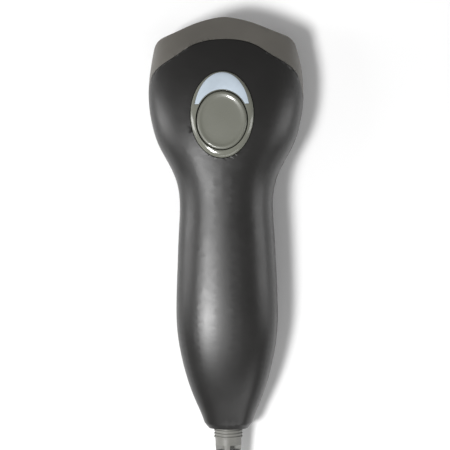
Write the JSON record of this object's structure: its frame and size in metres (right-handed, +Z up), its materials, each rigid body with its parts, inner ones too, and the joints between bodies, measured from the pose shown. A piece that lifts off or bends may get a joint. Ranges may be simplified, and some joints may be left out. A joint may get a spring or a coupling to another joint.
{
  "type": "handheld barcode scanner",
  "caption": "Corded contact barcode scanner with a wide head, leaning mouth, oval trigger button, long handle, ribbed strain relief and a coiled cable with plug.",
  "frame": {"origin": "on the surface that the scanner lies on, midway between the nose tip and the end of the strain relief, on the centre line", "axes": "+Y along the handle towards the nose, +Z up through the trigger button, +X to the right of the button seen from above"},
  "size_m": [0.0926, 0.3339, 0.0341],
  "materials": {
    "black_plastic": "satin, fine moulded grain",
    "grey_plastic": "satin",
    "trim_plastic": "glossy",
    "button_plastic": "glossy",
    "lens_plastic": "frosted, translucent",
    "inner_black": "matt",
    "window_glass": "polished, dark red filter",
    "clear_plastic": "clear",
    "soft_seal": "matt",
    "board": "solder mask",
    "chip": "moulded package",
    "steel": "zinc plated",
    "tin": "tinned",
    "gold": "gold flash",
    "aluminium_can": "sleeved can",
    "ceramic_chip": "fired",
    "optical_glass": "coated",
    "white_plastic": "natural nylon",
    "wire_jacket": "pvc",
    "flat_cable": "flat flexible cable",
    "label": "blank, coated",
    "boot_rubber": "matt elastomer",
    "cable_jacket": "pvc",
    "tie_fabric": "hook and loop"
  },
  "bodies": {
    "housing": {"upper_shell": "black_plastic", "lower_shell": "black_plastic", "nose_cover": "grey_plastic", "scan_hood": "inner_black", "scan_window": "window_glass", "window_gasket": "soft_seal", "light_spreader": "clear_plastic", "illumination_leds": "clear_plastic", "led_board": "board", "led_ribbon": "flat_cable", "optics_chassis": "inner_black", "sensor_board": "board", "image_sensor": "chip", "sensor_pins": "tin", "lens_barrel": "inner_black", "lens_glass": "optical_glass", "main_board": "board", "processor_chip": "chip", "memory_chip": "chip", "interface_chip": "chip", "crystal": "tin", "buzzer": "chip", "capacitors": "aluminium_can", "small_passives": "ceramic_chip", "status_leds": "clear_plastic", "tact_switch": "chip", "button_trim": "trim_plastic", "indicator_lens": "lens_plastic", "cable_boot": "boot_rubber", "cable_inside": "cable_jacket", "cable_clamp": "inner_black", "cable_header": "white_plastic", "crimp_plug": "white_plastic", "harness_wires": "wire_jacket", "rating_label": "label", "housing_screws": "steel", "board_screws": "steel", "chassis_screws": "steel", "clamp_screws": "steel", "cable_lead": "cable_jacket", "cable_tail": "cable_jacket", "cable_coil": "cable_jacket", "coil_tie": "tie_fabric", "usb_plug_body": "cable_jacket", "usb_plug_shell": "tin", "usb_plug_tongue": "white_plastic", "usb_contacts": "gold"},
    "trigger": {"trigger_button": "button_plastic"},
    "plunger": {"switch_plunger": "inner_black"}
  },
  "joints": [
    {"name": "trigger_press", "type": "slide", "parent": "housing", "child": "trigger", "axis": [0, 0, -1], "range_m": [0, 0.0008], "stiffness_N_per_m": 900, "springref_m": -0.0005},
    {"name": "plunger_press", "type": "slide", "parent": "housing", "child": "plunger", "axis": [0, 0, -1], "range_m": [0, 0.0008]}
  ],
  "couplings": [
    {"joint": "plunger_press", "follows": "trigger_press", "ratio": 1}
  ]
}
